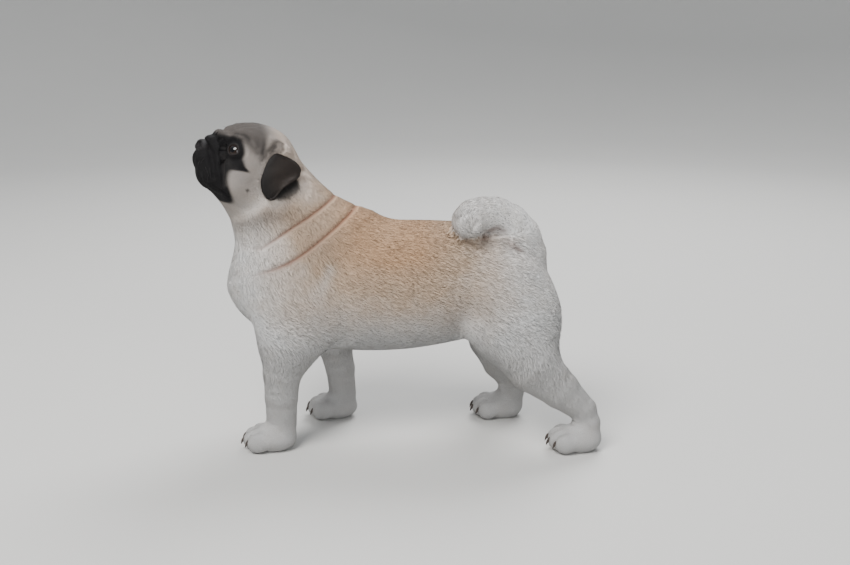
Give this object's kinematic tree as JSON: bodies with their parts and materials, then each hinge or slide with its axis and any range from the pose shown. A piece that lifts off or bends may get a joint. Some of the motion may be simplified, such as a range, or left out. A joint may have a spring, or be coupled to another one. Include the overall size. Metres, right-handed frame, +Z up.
{
  "type": "pug",
  "caption": "Still life-size model of a standing pug, head raised, button ears folded, tail curled tightly over its back.",
  "frame": {"origin": "on the floor, under the middle of the whole", "axes": "+X towards the tail, +Y to the dog's right side, +Z up"},
  "size_m": [0.513, 0.1706, 0.4106],
  "materials": {
    "fawn_coat": "short fur, matte",
    "pale_coat": "short fur, matte",
    "face_coat": "short fur, matte, with a black mask",
    "black_velvet": "velvety black fur",
    "nose_leather": "damp black, pebbled",
    "eye": "wet and glossy",
    "claw": "dull horn"
  },
  "bodies": {
    "root": {"head": "face_coat", "nose": "nose_leather", "eye_left": "eye", "eye_right": "eye", "ear_left": "black_velvet", "ear_right": "black_velvet", "neck": "fawn_coat", "torso": "fawn_coat", "tail": "pale_coat", "leg_front_left": "pale_coat", "leg_front_right": "pale_coat", "leg_hind_left": "pale_coat", "leg_hind_right": "pale_coat", "claw_front_left_1": "claw", "claw_front_left_2": "claw", "claw_front_left_3": "claw", "claw_front_left_4": "claw", "claw_front_right_1": "claw", "claw_front_right_2": "claw", "claw_front_right_3": "claw", "claw_front_right_4": "claw", "claw_hind_left_1": "claw", "claw_hind_left_2": "claw", "claw_hind_left_3": "claw", "claw_hind_left_4": "claw", "claw_hind_right_1": "claw", "claw_hind_right_2": "claw", "claw_hind_right_3": "claw", "claw_hind_right_4": "claw"}
  },
  "joints": []
}
